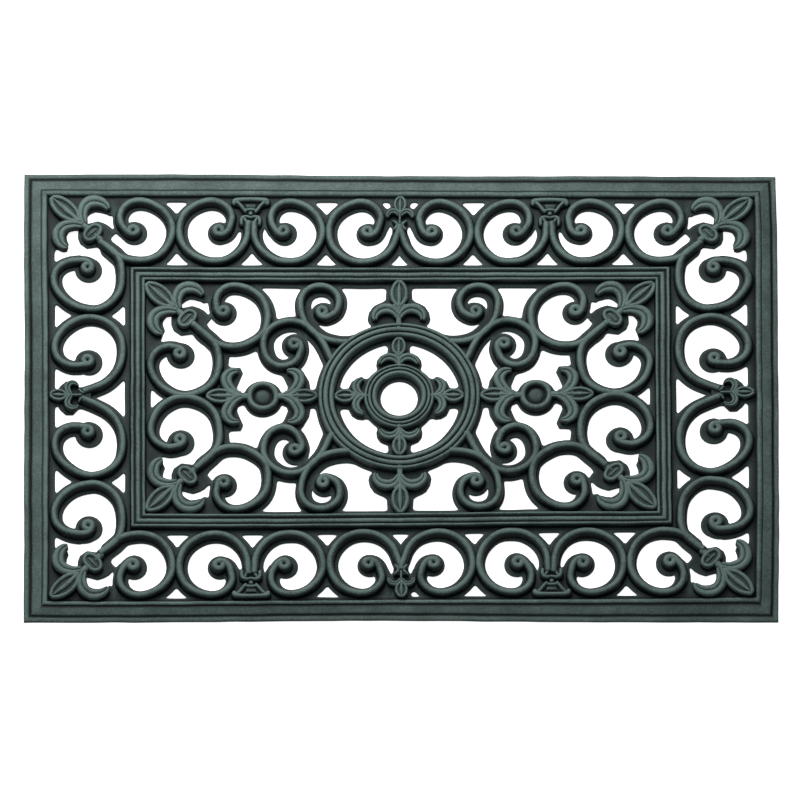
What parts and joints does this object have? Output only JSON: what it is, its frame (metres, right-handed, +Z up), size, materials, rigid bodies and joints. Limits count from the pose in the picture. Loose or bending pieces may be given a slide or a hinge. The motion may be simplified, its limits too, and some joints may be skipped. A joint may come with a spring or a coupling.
{
  "type": "doormat",
  "caption": "Rectangular moulded rubber doormat with openwork scrolls, fleur-de-lis and rosette medallion inside a bevelled border.",
  "frame": {"origin": "middle of the flat underside, on the floor", "axes": "+X along the mat's length, +Y across it towards the far edge, +Z up"},
  "size_m": [0.7, 0.4574, 0.0093],
  "materials": {
    "rubber": "matte black rubber with a worn grey-green bloom on the raised ornament"
  },
  "bodies": {
    "root": {"axis_fleur_bottom": "rubber", "axis_fleur_top": "rubber", "border_rail_bottom": "rubber", "border_rail_left": "rubber", "border_rail_right": "rubber", "border_rail_top": "rubber", "boss_fleur_left": "rubber", "boss_fleur_right": "rubber", "collar_scrolls_lower_left": "rubber", "collar_scrolls_lower_right": "rubber", "collar_scrolls_upper_left": "rubber", "collar_scrolls_upper_right": "rubber", "corner_scrolls_lower_left": "rubber", "corner_scrolls_lower_right": "rubber", "corner_scrolls_upper_left": "rubber", "corner_scrolls_upper_right": "rubber", "hook_scrolls_lower_left": "rubber", "hook_scrolls_lower_right": "rubber", "hook_scrolls_upper_left": "rubber", "hook_scrolls_upper_right": "rubber", "hub_ring": "rubber", "inner_corner_fleur_lower_left": "rubber", "inner_corner_fleur_lower_right": "rubber", "inner_corner_fleur_upper_left": "rubber", "inner_corner_fleur_upper_right": "rubber", "inner_corner_scrolls_lower_left": "rubber", "inner_corner_scrolls_lower_right": "rubber", "inner_corner_scrolls_upper_left": "rubber", "inner_corner_scrolls_upper_right": "rubber", "inner_rail_bottom": "rubber", "inner_rail_left": "rubber", "inner_rail_right": "rubber", "inner_rail_top": "rubber", "long_side_fleur_bottom": "rubber", "long_side_fleur_top": "rubber", "long_side_scrolls_bottom": "rubber", "long_side_scrolls_top": "rubber", "medallion_ring": "rubber", "outer_corner_fleur_lower_left": "rubber", "outer_corner_fleur_lower_right": "rubber", "outer_corner_fleur_upper_left": "rubber", "outer_corner_fleur_upper_right": "rubber", "ring_fleur_bottom": "rubber", "ring_fleur_left": "rubber", "ring_fleur_right": "rubber", "ring_fleur_top": "rubber", "short_side_fleur_left": "rubber", "short_side_fleur_right": "rubber", "short_side_scroll_lower_left": "rubber", "short_side_scroll_lower_right": "rubber", "short_side_scroll_upper_left": "rubber", "short_side_scroll_upper_right": "rubber", "vase_collar_lower_left": "rubber", "vase_collar_lower_right": "rubber", "vase_collar_upper_left": "rubber", "vase_collar_upper_right": "rubber"}
  },
  "joints": []
}
